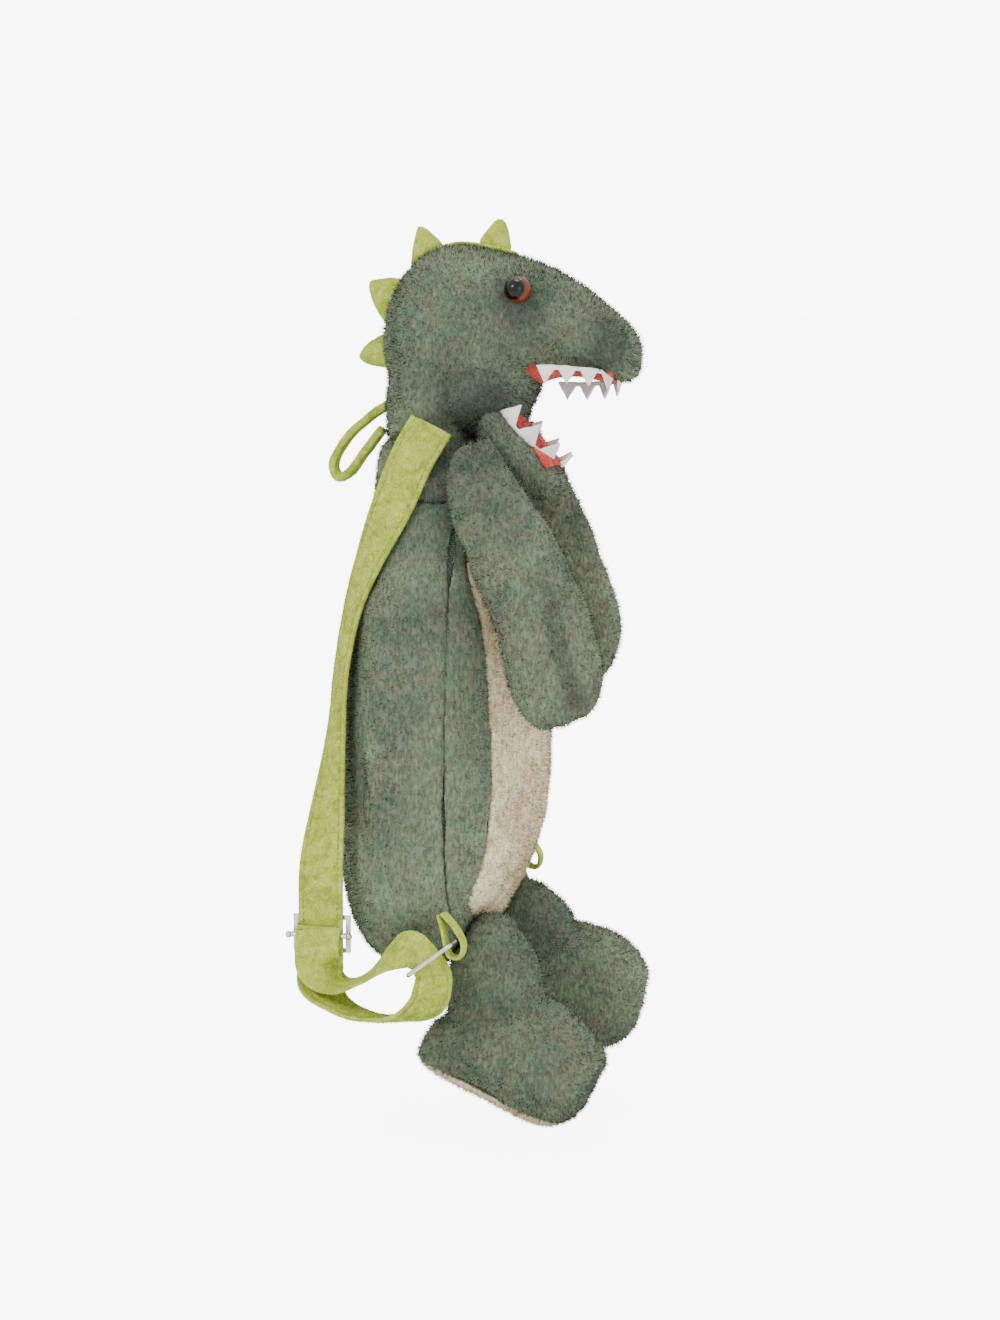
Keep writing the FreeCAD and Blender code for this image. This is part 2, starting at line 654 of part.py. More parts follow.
def ribbon(name, route, wide, thick, steps=3):
    """A flat strap: a solid through rectangles that follow the route and turn with it."""
    stations = smooth(route, steps)
    points = [Vector(*station[:3]) for station in stations]
    sections = []
    for number, (point, station) in enumerate(zip(points, stations)):
        ahead = points[min(number + 1, len(points) - 1)]
        behind = points[max(number - 1, 0)]
        along = (ahead - behind).normalize()
        across = (Y_AXIS - along * Y_AXIS.dot(along)).normalize()
        across = Rotation(along, station[3]).multVec(across)
        through = along.cross(across)
        half = [across * (wide * station[4] / 2), through * (thick / 2)]
        corners = [point + half[0] * a + half[1] * b for a, b in ((1, 1), (-1, 1), (-1, -1), (1, -1), (1, 1))]
        sections.append(Part.makePolygon(corners))
    thing = doc.addObject("Part::Feature", name)
    thing.Shape = Part.makeLoft(sections, True, True)
    return thing


def rectangle_ring(name):
    """A ring of round wire: four straight sides and four quarter turns."""
    corner = "Sizes.ring_corner"
    wire = "Sizes.ring_wire_radius"
    long_half = f"(Sizes.ring_long / 2 + {wire})"
    short_half = f"(Sizes.ring_short / 2 + {wire})"
    pieces = []
    for sign in (-1, 1):
        turn = Rotation(Y_AXIS, 90)
        pieces.append(add("Part::Cylinder", f"{name}_long_{sign}", Placement(Vector(), turn), Radius=wire,
                          Height=f"2 * ({long_half} - {corner})",
                          Placement__Base__x=f"-({long_half} - {corner})",
                          Placement__Base__y=f"{sign} * {short_half}"))
        turn = Rotation(X_AXIS, -90)
        pieces.append(add("Part::Cylinder", f"{name}_short_{sign}", Placement(Vector(), turn), Radius=wire,
                          Height=f"2 * ({short_half} - {corner})",
                          Placement__Base__y=f"-({short_half} - {corner})",
                          Placement__Base__x=f"{sign} * {long_half}"))
    for quarter, (sx, sy) in enumerate(((1, 1), (-1, 1), (-1, -1), (1, -1))):
        bend = add("Part::Torus", f"{name}_bend_{quarter}", Placement(Vector(), Rotation(Z_AXIS, 90 * quarter)),
                   Radius1=corner, Radius2=wire,
                   Placement__Base__x=f"{sx} * ({long_half} - {corner})",
                   Placement__Base__y=f"{sy} * ({short_half} - {corner})")
        bend.Angle3 = 90
        pieces.append(bend)
    return fuse(name, *pieces)


def strap_slider(name):
    """A flat frame with a centre bar that stands off from it, so that the strap runs straight through."""
    bar = "Sizes.slider_bar"
    plate = box(f"{name}_plate", ("-Sizes.slider_wide / 2", 1.6, "-Sizes.slider_tall / 2"),
                ("Sizes.slider_wide", 2, "Sizes.slider_tall"))
    window = box(f"{name}_window", (f"-Sizes.slider_wide / 2 + {bar}", 0, f"-Sizes.slider_tall / 2 + {bar}"),
                 (f"Sizes.slider_wide - 2 * {bar}", 10, f"Sizes.slider_tall - 2 * {bar}"))
    frame = cut(f"{name}_frame", plate, window)
    rod = cylinder(f"{name}_rod", at(-size("slider_wide") / 2 - 1, -4.9, 0, Y_AXIS, 90), f"{bar} / 2",
                   "Sizes.slider_wide + 2")
    posts = [box(f"{name}_post_{sign}", (f"{sign} * (Sizes.slider_wide - {bar}) / 2 - {bar} / 2", -5.5, -1.2),
                 (bar, 8, 2.4)) for sign in (-1, 1)]
    knobs = [ball(f"{name}_knob_{sign}", at(sign * (size("slider_wide") / 2 + 1), -4.9, 0), "1.9")
             for sign in (-1, 1)]
    return fuse(name, frame, rod, *posts, *knobs)


def mirrored(name, source):
    twin = doc.addObject("Part::Mirroring", name)
    twin.Source = source
    twin.Base = Vector(0, 0, 0)
    twin.Normal = Y_AXIS
    return twin


def harness():
    """Both straps with their fittings. The left side is drawn as a right one and mirrored."""
    for word in ("right", "left"):
        left = word == "left"
        place = bag_place()
        routes = [lifted(route) if left else route for route in (STRAP_ROUTE, TAIL_ROUTE, TAB_ROUTE)]
        lift = LEFT_LIFT if left else 0
        ring_spot = Vector(*RING_CENTRE) + Vector(0, 0, lift)
        slider_spot = Vector(*SLIDER_CENTRE) + Vector(0, 0, lift)
        strap = ribbon(f"{word}_strap_band", routes[0], size("strap_wide"), size("strap_thick"))
        tail = ribbon(f"{word}_tail_band", routes[1], size("strap_wide"), size("tail_thick"))
        tab = ribbon(f"{word}_tab_band", routes[2], size("tab_wide"), size("tail_thick"))
        ring = moved(f"{word}_ring_there", rectangle_ring(f"{word}_wire"),
                     Placement(ring_spot, Rotation(Y_AXIS, -37)))
        slider = moved(f"{word}_slider_there", strap_slider(f"{word}_buckle"), Placement(slider_spot, Rotation()))
        for thing, node in ((strap, "strap"), (tail, "strap_tail"), (tab, "side_tab"), (ring, "ring"),
                            (slider, "strap_slider")):
            name = f"{word}_{node}_whole"
            label(mirrored(name, thing) if left else moved(name, thing, Placement()), f"{word}_{node}", place)
    loop = ribbon("loop_band", LOOP_ROUTE, size("loop_wide"), size("loop_thick"))
    label(loop, "carry_loop", Placement())


def write_steps():
    """Check every object and every piece, then write one file for each piece."""
    doc.recompute()
    for thing in doc.Objects:
        if "Invalid" in thing.State or "Error" in thing.State:
            raise RuntimeError(f"{thing.Name} did not build: {thing.State}")
    os.makedirs("parts", exist_ok=True)
    for piece in PIECES:
        shape = piece.Shape
        if shape.isNull() or not shape.isValid() or not shape.Solids:
            raise RuntimeError(f"{piece.Label} has no valid solid")
        shape.exportStep(f"parts/{piece.Label}.step")
        print(f"{piece.Label}: {len(shape.Solids)} solid, {shape.Volume:.0f} mm3")


fill_sheet()
bag()
zip_closure()
zip_runner()
head()
jaw()
arms()
legs()
harness()
write_steps()
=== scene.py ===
import json
import math

import bmesh
import bpy
import numpy as np
from mathutils import Matrix, Vector, noise

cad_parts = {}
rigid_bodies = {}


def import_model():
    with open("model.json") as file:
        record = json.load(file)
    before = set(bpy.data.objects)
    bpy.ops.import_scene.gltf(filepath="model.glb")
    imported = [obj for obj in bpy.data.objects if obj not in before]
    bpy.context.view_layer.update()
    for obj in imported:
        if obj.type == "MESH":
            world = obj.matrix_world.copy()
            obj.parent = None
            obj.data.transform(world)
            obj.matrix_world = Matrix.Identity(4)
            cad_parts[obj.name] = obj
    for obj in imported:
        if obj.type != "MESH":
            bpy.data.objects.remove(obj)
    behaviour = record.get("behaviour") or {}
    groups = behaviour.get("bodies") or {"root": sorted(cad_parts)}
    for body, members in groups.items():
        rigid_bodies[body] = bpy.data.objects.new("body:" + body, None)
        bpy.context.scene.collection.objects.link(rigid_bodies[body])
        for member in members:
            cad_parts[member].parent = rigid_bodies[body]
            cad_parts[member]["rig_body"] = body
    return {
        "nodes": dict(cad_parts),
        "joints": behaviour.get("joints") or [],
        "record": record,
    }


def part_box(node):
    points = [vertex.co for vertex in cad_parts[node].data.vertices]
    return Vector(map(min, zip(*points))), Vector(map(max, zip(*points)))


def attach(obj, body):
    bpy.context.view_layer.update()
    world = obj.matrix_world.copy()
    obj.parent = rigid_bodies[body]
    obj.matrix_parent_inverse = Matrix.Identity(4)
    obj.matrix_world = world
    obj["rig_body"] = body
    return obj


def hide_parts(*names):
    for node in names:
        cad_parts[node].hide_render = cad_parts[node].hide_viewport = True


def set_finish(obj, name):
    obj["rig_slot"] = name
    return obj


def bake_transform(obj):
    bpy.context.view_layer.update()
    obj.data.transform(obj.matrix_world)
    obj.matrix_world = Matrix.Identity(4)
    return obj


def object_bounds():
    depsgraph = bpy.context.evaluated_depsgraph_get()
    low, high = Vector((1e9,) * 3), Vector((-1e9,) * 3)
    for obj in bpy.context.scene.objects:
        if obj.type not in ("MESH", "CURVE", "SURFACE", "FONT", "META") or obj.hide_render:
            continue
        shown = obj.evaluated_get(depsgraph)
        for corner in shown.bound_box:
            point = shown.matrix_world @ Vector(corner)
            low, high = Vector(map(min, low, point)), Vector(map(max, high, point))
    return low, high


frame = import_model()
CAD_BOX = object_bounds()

# A plush dinosaur backpack. Every plush part is a closed skin over its solid, remeshed, creased along its
# seams and covered with short pile. The straps are sewn velour bands. Metres, in the frame of the model.

SIDES = {"right": -1, "left": 1}
JOINTS = {joint["name"]: joint for joint in frame["joints"]}
NODES = frame["nodes"]


def turn(axis, degrees):
    """A rotation about one axis."""
    return Matrix.Rotation(math.radians(degrees), 4, axis)


# The frames of the bag, of the head and of the lower jaw.
BAG = Matrix.Translation((0.026, 0, -0.300))
HEAD = Matrix.Translation((0.023, 0, -0.005)) @ turn("X", -14)
JAW = HEAD @ Matrix.Translation((0.032, 0, 0.008)) @ turn("Y", 43.5)


def joint_spot(name):
    """The place of a joint, as a frame along the model's axes."""
    return Matrix.Translation(JOINTS[name]["pos_m"])


def arm_frame(word):
    """The frame of an arm: its origin in the shoulder, and its length along minus Z."""
    splay, raised = (17, 10) if word == "left" else (-10, 22)
    return joint_spot(f"{word}_arm_swing") @ turn("X", splay) @ turn("Y", -raised)


def leg_frame(word):
    """The frame of a leg: its origin in the hip; the left leg lies splayed."""
    return joint_spot(f"{word}_leg_swing") @ turn("X", 38 if word == "left" else 0)


# Materials

def material(name, slot_colour, rough):
    """A material with a principled shader: its node tree, the shader and the material."""
    made = bpy.data.materials.new(name)
    made.use_nodes = True
    made.diffuse_color = (*slot_colour, 1)
    shader = made.node_tree.nodes["Principled BSDF"]
    shader.inputs["Base Color"].default_value = (*slot_colour, 1)
    shader.inputs["Roughness"].default_value = rough
    return made, made.node_tree, shader


def place_of(tree, stretch=(1, 1, 1)):
    """Object coordinates, stretched, so that grain runs with the pile."""
    where = tree.nodes.new("ShaderNodeTexCoord")
    mapping = tree.nodes.new("ShaderNodeMapping")
    mapping.inputs["Scale"].default_value = stretch
    tree.links.new(where.outputs["Object"], mapping.inputs["Vector"])
    return mapping.outputs["Vector"]


def grain(tree, vector, scale, detail=2.0, warp=0.0):
    """Noise at one scale, as a value around one half."""
    node = tree.nodes.new("ShaderNodeTexNoise")
    node.inputs["Scale"].default_value = scale
    node.inputs["Detail"].default_value = detail
    node.inputs["Distortion"].default_value = warp
    tree.links.new(vector, node.inputs["Vector"])
    return node.outputs["Fac"]


def ramp(tree, value, stops):
    """Colours along a value: a list of (place, colour)."""
    node = tree.nodes.new("ShaderNodeValToRGB")
    marks = node.color_ramp.elements
    while len(marks) < len(stops):
        marks.new(0.5)
    for mark, (place, colour) in zip(marks, stops):
        mark.position = place
        mark.color = (*colour, 1)
    tree.links.new(value, node.inputs["Fac"])
    return node.outputs["Color"]


def blend_colours(tree, factor, low, high, way="MIX"):
    """Two colours mixed by a factor; each may be a socket, a number or a colour."""
    node = tree.nodes.new("ShaderNodeMix")
    node.data_type = "RGBA"
    node.blend_type = way
    for socket, value in ((node.inputs[0], factor), (node.inputs[6], low), (node.inputs[7], high)):
        if isinstance(value, bpy.types.NodeSocket):
            tree.links.new(value, socket)
        elif isinstance(value, (int, float)):
            socket.default_value = value
        else:
            socket.default_value = (*value, 1)
    return node.outputs[2]


def add_bump(tree, shader, heights):
    """Bumps from several heights: a list of (value, strength, distance)."""
    normal = None
    for value, strength, distance in heights:
        bump = tree.nodes.new("ShaderNodeBump")
        bump.inputs["Strength"].default_value = strength
        bump.inputs["Distance"].default_value = distance
        tree.links.new(value, bump.inputs["Height"])
        if normal is not None:
            tree.links.new(normal, bump.inputs["Normal"])
        normal = bump.outputs["Normal"]
    tree.links.new(normal, shader.inputs["Normal"])


def cloth_sheen(shader, weight, tint, spread=0.4):
    """The pale glow of fine fibres at grazing angles."""
    shader.inputs["Sheen Weight"].default_value = weight
    shader.inputs["Sheen Roughness"].default_value = spread
    shader.inputs["Sheen Tint"].default_value = (*tint, 1)
    shader.inputs["Specular IOR Level"].default_value = 0.15


def plush(name, stops, stain, shadow_colour):
    """Short pile: soft blotches, a fine streaky grain, and painted shade where the skin is marked with it."""
    made, tree, shader = material(name, stops[1][1], 0.9)
    place = place_of(tree)
    streaks = grain(tree, place_of(tree, (1, 1, 0.35)), 620, 3)
    blotches = grain(tree, place, 17, 3, 0.6)
    patches = grain(tree, place, 75, 4, 0.8)
    base = ramp(tree, blotches, stops)
    stained = ramp(tree, patches, [(0.4, (0, 0, 0)), (0.62, (0.75, 0.75, 0.75))])
    base = blend_colours(tree, stained, base, stain)
    fine = ramp(tree, streaks, [(0.3, (0.66, 0.66, 0.66)), (0.7, (1.28, 1.28, 1.28))])
    base = blend_colours(tree, 1.0, base, fine, "MULTIPLY")
    # Painted shade: where the skin is marked, the fur is mixed towards the last colour, a painted shadow.
    mark = tree.nodes.new("ShaderNodeAttribute")
    mark.attribute_name = "painted_shade"
    base = blend_colours(tree, mark.outputs["Fac"], base, shadow_colour)
    tree.links.new(base, shader.inputs["Base Color"])
    add_bump(tree, shader, [(patches, 0.35, 0.002), (streaks, 0.55, 0.0012)])
    cloth_sheen(shader, 0.35, stops[2][1])
    return made


def velour(name, dark, mid, light):
    """Low nap with a bright edge where it turns away, and fine crushed marks."""
    made, tree, shader = material(name, mid, 0.75)
    place = place_of(tree)
    nap = grain(tree, place, 900, 3)
    crush = grain(tree, place, 130, 4, 1.2)
    base = ramp(tree, crush, [(0.33, dark), (0.52, mid), (0.72, light)])
    fine = ramp(tree, nap, [(0.3, (0.74, 0.74, 0.74)), (0.7, (1.22, 1.22, 1.22))])
    tree.links.new(blend_colours(tree, 1.0, base, fine, "MULTIPLY"), shader.inputs["Base Color"])
    add_bump(tree, shader, [(crush, 0.3, 0.001), (nap, 0.5, 0.0005)])
    cloth_sheen(shader, 0.6, light, 0.3)
    return made


def woven(name, dark, light, threads, rough=0.85):
    """Plain weave: two crossed waves of threads with a little dirt."""
    made, tree, shader = material(name, light, rough)
    waves = []
    for direction in ("Y", "Z"):
        wave = tree.nodes.new("ShaderNodeTexWave")
        wave.bands_direction = direction
        wave.inputs["Scale"].default_value = threads
        wave.inputs["Distortion"].default_value = 0.6
        tree.links.new(place_of(tree), wave.inputs["Vector"])
        waves.append(wave.outputs["Fac"])
    cross = tree.nodes.new("ShaderNodeMath")
    cross.operation = "MULTIPLY"
    for socket, wave in zip(cross.inputs, waves):
        tree.links.new(wave, socket)
    worn = grain(tree, place_of(tree), 90, 4)
    base = ramp(tree, cross.outputs[0], [(0.0, dark), (0.6, light)])
    tint = ramp(tree, worn, [(0.3, (0.85, 0.85, 0.85)), (0.7, (1.1, 1.1, 1.1))])
    tree.links.new(blend_colours(tree, 1.0, base, tint, "MULTIPLY"), shader.inputs["Base Color"])
    add_bump(tree, shader, [(cross.outputs[0], 0.4, 0.0004)])
    cloth_sheen(shader, 0.2, light)
    return made


def felt(name, colour, shadow):
    """Pressed fibres: mottled, matt, with a loose surface."""
    made, tree, shader = material(name, colour, 0.95)
    fibres = grain(tree, place_of(tree, (1, 0.4, 1)), 1100, 4, 1.5)
    cloudy = grain(tree, place_of(tree), 160, 3)
    base = ramp(tree, cloudy, [(0.3, shadow), (0.6, colour)])
    tree.links.new(base, shader.inputs["Base Color"])
    add_bump(tree, shader, [(fibres, 0.5, 0.0005)])
    cloth_sheen(shader, 0.3, colour)
    return made


def nickel():
    """Bright plating with faint rubbed streaks and a darker film in patches."""
    made, tree, shader = material("nickel_plate", (0.66, 0.65, 0.63), 0.2)
    shader.inputs["Metallic"].default_value = 1.0
    rubbed = grain(tree, place_of(tree, (1, 1, 6)), 260, 3)
    film = grain(tree, place_of(tree), 90, 3)
    tree.links.new(ramp(tree, film, [(0.3, (0.5, 0.49, 0.47)), (0.65, (0.74, 0.73, 0.71))]),
                   shader.inputs["Base Color"])
    tree.links.new(ramp(tree, rubbed, [(0.3, (0.13, 0.13, 0.13)), (0.7, (0.32, 0.32, 0.32))]),
                   shader.inputs["Roughness"])
    add_bump(tree, shader, [(rubbed, 0.08, 0.0002)])
    return made


def moulded(name, colour, rough, coat=0.0):
    """Moulded plastic: a slightly uneven colour and surface, with a clear coat if one is asked for."""
    made, tree, shader = material(name, colour, rough)
    uneven = grain(tree, place_of(tree), 240, 3)
    dim = tuple(0.72 * c for c in colour)
    bright = tuple(min(1, 1.15 * c) for c in colour)
    tree.links.new(ramp(tree, uneven, [(0.3, dim), (0.7, bright)]), shader.inputs["Base Color"])
    shader.inputs["Coat Weight"].default_value = coat
    shader.inputs["Coat Roughness"].default_value = 0.02
    shader.inputs["Specular IOR Level"].default_value = 0.3
    add_bump(tree, shader, [(uneven, 0.05, 0.0002)])
    return made


def build_materials():
    """Every material, by its slot."""
    green = [(0.3, (0.068, 0.098, 0.066)), (0.5, (0.122, 0.168, 0.108)), (0.72, (0.215, 0.275, 0.175))]
    cream = [(0.3, (0.60, 0.50, 0.30)), (0.5, (0.76, 0.68, 0.43)), (0.72, (0.85, 0.79, 0.56))]
    lime = (0.27, 0.33, 0.035), (0.37, 0.45, 0.055), (0.47, 0.55, 0.095)
    return {
        # The last colour of each plush is its painted shadow colour.
        "green_plush": plush("green_plush_pile", green, (0.15, 0.15, 0.105), (0.03, 0.042, 0.034)),
        "cream_plush": plush("cream_plush_pile", cream, (0.55, 0.4, 0.24), (0.42, 0.28, 0.18)),
        "lime_velour": velour("lime_velour_nap", *lime),
        "red_cloth": velour("red_mouth_cloth", (0.38, 0.035, 0.03), (0.56, 0.06, 0.05), (0.7, 0.12, 0.09)),
        "white_felt": felt("white_felt", (0.87, 0.87, 0.85), (0.74, 0.74, 0.73)),
        "lining": woven("dark_lining_weave", (0.05, 0.07, 0.05), (0.12, 0.16, 0.12), 260),
        "zip_tape": woven("zip_tape_weave", (0.05, 0.075, 0.045), (0.13, 0.18, 0.11), 420),
        "zip_plastic": moulded("zip_tooth_plastic", (0.1, 0.14, 0.08), 0.45),
        "nickel": nickel(),
        "filling": felt("polyester_filling", (0.84, 0.84, 0.82), (0.62, 0.62, 0.6)),
        "eye_amber": moulded("amber_eye_plastic", (0.12, 0.026, 0.005), 0.14, 0.1),
        "eye_black": moulded("black_pupil_plastic", (0.003, 0.002, 0.002), 0.04, 0.0),
        "washer_plastic": moulded("washer_plastic_white", (0.82, 0.82, 0.8), 0.4),
        "thread": felt("lime_thread", (0.34, 0.42, 0.06), (0.2, 0.26, 0.03)),
    }


# Soft forms

def link(obj):
    """Put an object into the scene."""
    bpy.context.scene.collection.objects.link(obj)
    return obj


def apply_modifiers(obj):
    """Bake the object's modifiers into its mesh."""
    bpy.context.view_layer.update()
    evaluated = obj.evaluated_get(bpy.context.evaluated_depsgraph_get())
    old = obj.data
    obj.data = bpy.data.meshes.new_from_object(evaluated)
    obj.modifiers.clear()
    bpy.data.meshes.remove(old)


def keep_outer(obj):
    """Drop loose inner surfaces that the remesh leaves: only the tallest piece stays."""
    mesh = bmesh.new()
    mesh.from_mesh(obj.data)
    mesh.verts.ensure_lookup_table()
    unseen = set(mesh.verts)
    islands = []
    while unseen:
        stack = [unseen.pop()]
        island = [stack[0]]
        while stack:
            for edge in stack.pop().link_edges:
                for vertex in edge.verts:
                    if vertex in unseen:
                        unseen.remove(vertex)
                        island.append(vertex)
                        stack.append(vertex)
        islands.append(island)
    spans = [max(v.co.z for v in island) - min(v.co.z for v in island) for island in islands]
    largest = max(spans)
    spare = [v for island, span in zip(islands, spans) if span < largest for v in island]
    bmesh.ops.delete(mesh, geom=spare, context="VERTS")
    mesh.to_mesh(obj.data)
    mesh.free()


def soft_copy(piece, nodes, voxel, rounds, outer=False, pads=()):
    """A closed skin over some nodes and round pads: all joined, remeshed and eased."""
    joined = bmesh.new()
    for node in nodes:
        joined.from_mesh(NODES[node].data)
    for pad in pads:
        bmesh.ops.create_uvsphere(joined, u_segments=48, v_segments=24, radius=1, matrix=pad)
    bmesh.ops.remove_doubles(joined, verts=joined.verts, dist=1e-6)
    mesh = bpy.data.meshes.new(piece)
    joined.to_mesh(mesh)
    joined.free()
    obj = link(bpy.data.objects.new(piece, mesh))
    remesh = obj.modifiers.new("skin", "REMESH")
    remesh.mode = "VOXEL"
    remesh.voxel_size = voxel
    ease = obj.modifiers.new("ease", "SMOOTH")
    ease.factor = 0.5
    ease.iterations = rounds
    apply_modifiers(obj)
    if outer:
        keep_outer(obj)
    obj.data.shade_smooth()
    return obj


def reshape(obj, height):
    """Move every vertex along its normal by height(place)."""
    mesh = obj.data
    normals = [vertex.normal.copy() for vertex in mesh.vertices]
    for vertex, normal in zip(mesh.vertices, normals):
        vertex.co += normal * height(vertex.co)
    mesh.update()


def lumps(amount, size, seed):
    """Soft unevenness of the filling."""
    shift = Vector((seed * 7.3, seed * 3.1, seed * 5.7))
    return lambda place: amount * noise.noise(place / size + shift)


def from_route(place, route):
    """How far a place is from a line through the route's points."""
    nearest = 1.0
    for start, end in zip(route, route[1:]):
        run = end - start
        share = min(1, max(0, (place - start).dot(run) / run.length_squared))
        nearest = min(nearest, (place - start - run * share).length)
    return nearest


def crease(route, depth, wide):
    """A sewn line or fold that is pressed in along a route."""
    return lambda place: -depth * math.exp(-(from_route(place, route) / wide) ** 2)


def together(*heights):
    """The sum of several functions of a place."""
    return lambda place: sum(height(place) for height in heights)


def paint_shade(obj, painted_shade):
    """Paint shade into the fur: how dark each place is made, from 0 to 1, as the given function of the place
    says.
    """
    layer = obj.data.attributes.new("painted_shade", "FLOAT", "POINT")
    for value, vertex in zip(layer.data, obj.data.vertices):
        value.value = min(1, max(0, painted_shade(vertex.co)))


def spot(centre, radius, amount=1.0):
    """A soft round patch about a centre."""
    return lambda place: amount * math.exp(-((place - centre).length / radius) ** 2)


def points(matrix, *places):
    """Places that are given in one frame, in the frame of the model."""
    return [matrix @ Vector(place) for place in places]


def scatter(mesh, count, seed):
    """Seeded random places on a mesh: their positions, normals and painted shade."""
    mesh.calc_loop_triangles()
    corners = np.empty(len(mesh.loop_triangles) * 3, np.int64)
    mesh.loop_triangles.foreach_get("vertices", corners)
    corners = corners.reshape(-1, 3)
    places = np.empty(len(mesh.vertices) * 3)
    mesh.vertices.foreach_get("co", places)
    normals = np.empty(len(mesh.vertices) * 3)
    mesh.vertices.foreach_get("normal", normals)
    places, normals = places.reshape(-1, 3), normals.reshape(-1, 3)
    painted_shades = np.zeros(len(mesh.vertices))
    if "painted_shade" in mesh.attributes:
        mesh.attributes["painted_shade"].data.foreach_get("value", painted_shades)
    chance = np.random.RandomState(seed)
    edges = places[corners[:, 1:]] - places[corners[:, :1]]
    areas = np.linalg.norm(np.cross(edges[:, 0], edges[:, 1]), axis=1)
    chosen = corners[chance.choice(len(corners), count, p=areas / areas.sum())]
    share = np.sqrt(chance.rand(count, 1)), chance.rand(count, 1)
    weights = np.hstack([1 - share[0], share[0] * (1 - share[1]), share[0] * share[1]])[:, :, None]
    facing = (normals[chosen] * weights).sum(1)
    roots = (places[chosen] * weights).sum(1)
    # The painted shade at each root.
    dark = (painted_shades[chosen] * weights[:, :, 0]).sum(1)
    return roots, unit(facing), dark, chance


def unit(rows):
    """Each row scaled to length one."""
    return rows / np.maximum(np.linalg.norm(rows, axis=1, keepdims=True), 1e-9)


BLADE_WIDTH = 0.085
BLADE_ROOT = 0.2
PILE_SEED = 7


def pile(obj, length, per_square_mm, lay):
    """Short pile as real tufts: one thin blade of fibres each, which lies the way the cloth was brushed."""
    square_mm = sum(face.area for face in obj.data.polygons) * 1e6
    count = int(square_mm * per_square_mm * (1))
    root, facing, painted_shades, chance = scatter(obj.data, count, PILE_SEED)
    brushed = np.array(lay) + chance.normal(0, 0.3, (count, 3))
    along = unit(facing * 0.75 + unit(brushed) * 0.7 + chance.normal(0, 0.18, (count, 3)))
    along *= length * chance.uniform(0.65, 1.15, (count, 1))
    across = unit(np.cross(along, facing + chance.normal(0, 0.4, (count, 3)))) * length * BLADE_WIDTH
    base = root - facing * length * BLADE_ROOT
    blades = np.stack([base - across, base + across, root + along], axis=1).reshape(-1, 3)
    mesh = bpy.data.meshes.new(f"{obj.name}_pile")
    mesh.vertices.add(count * 3)
    mesh.vertices.foreach_set("co", blades.ravel())
    mesh.loops.add(count * 3)
    mesh.loops.foreach_set("vertex_index", np.arange(count * 3))
    mesh.polygons.add(count)
    mesh.polygons.foreach_set("loop_start", np.arange(count) * 3)
    mesh.update(calc_edges=True)
    mesh.shade_smooth()
    soft = unit(facing + 0.35 * unit(along))
    mesh.normals_split_custom_set_from_vertices(np.repeat(soft, 3, axis=0).tolist())
    # Each tuft keeps the painted shade of the skin at its root.
    layer = mesh.attributes.new("painted_shade", "FLOAT", "POINT")
    layer.data.foreach_set("value", np.repeat(painted_shades, 3).astype(np.float32))
    tufts = link(bpy.data.objects.new(f"{obj.name}_pile", mesh))
    mesh.materials.append(obj.data.materials[0])
    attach(tufts, obj["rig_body"])
    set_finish(tufts, obj["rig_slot"])
    return tufts


FILLING_VOXEL = 0.0032
FILLING_GAP = 0.0012


def filling(node, body, height):
    """The stuffing of a part: it follows every hollow of the skin round it."""
    stuffing = soft_copy(f"{node}_fibre", [node], FILLING_VOXEL, 2)
    reshape(stuffing, lambda place: height(place) - FILLING_GAP)
    finish_piece(stuffing, body, "filling", [node])


def finish_piece(obj, body, slot, nodes):
    """Give a piece its material, its body and the nodes that it stands for."""
    obj.data.materials.clear()
    obj.data.materials.append(MATERIALS[slot])
    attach(obj, body)
    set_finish(obj, slot)
    if nodes:
        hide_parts(*nodes)
    return obj


# The animal

EYE_X, EYE_Y, EYE_Z = 0.052, 0.038, 0.068
EYE_SEAT = 0.0094
PILE_LENGTH = 0.0030
PILE_DENSITY = 1.0
NAP_LENGTH, NAP_DENSITY = 0.0012, 0.8
CHEEK = Vector((0.029, 0, 0.012))
CHEEK_SIZE = (0.023, 0.0425, 0.0215)


def head_pads():
    """Stuffed cheeks that cover the root of the jaw, and a low mound under each eye."""
    cheek = Matrix.Diagonal((*CHEEK_SIZE, 1))
    cheeks = [HEAD @ Matrix.Translation(CHEEK) @ cheek,
              HEAD @ Matrix.Translation(CHEEK + Vector((0.006, 0, 0.014))) @ cheek]
    seats = [HEAD @ Matrix.Translation((EYE_X, side * (EYE_Y - 0.003), EYE_Z)) @ Matrix.Scale(EYE_SEAT, 4)
             for side in (-1, 1)]
    return cheeks + seats


def face(side):
    """The hollows of one side of the face, and the painted shade in and around them."""
    eye, brow, lid, nostril, snout, cheek = points(
        HEAD, (EYE_X, side * (EYE_Y + 0.004), EYE_Z), (EYE_X, side * 0.043, EYE_Z + 0.013),
        (EYE_X + 0.011, side * 0.04, EYE_Z + 0.005), (0.099, side * 0.019, 0.042),
        (0.062, side * 0.045, 0.05), (0.036, side * 0.042, 0.006))
    mouth_corner = points(HEAD, (0.066, side * 0.034, 0.024), (0.044, side * 0.042, 0.019))
    heights = [spot(eye, 0.017, -0.0028), spot(brow, 0.009, 0.0028), spot(lid, 0.008, 0.0014),
               crease(mouth_corner, 0.0022, 0.005), spot(nostril, 0.009, -0.0022)]
    # Painted shade: darker fur in the eye and nostril hollows, under the eye and low on the cheek by the
    # mouth.
    painted_shades = [spot(eye, 0.0145, 0.75), spot(nostril, 0.015, 0.75), spot(snout, 0.014, 0.45),
              spot(cheek, 0.026, 0.6)]
    return heights, painted_shades


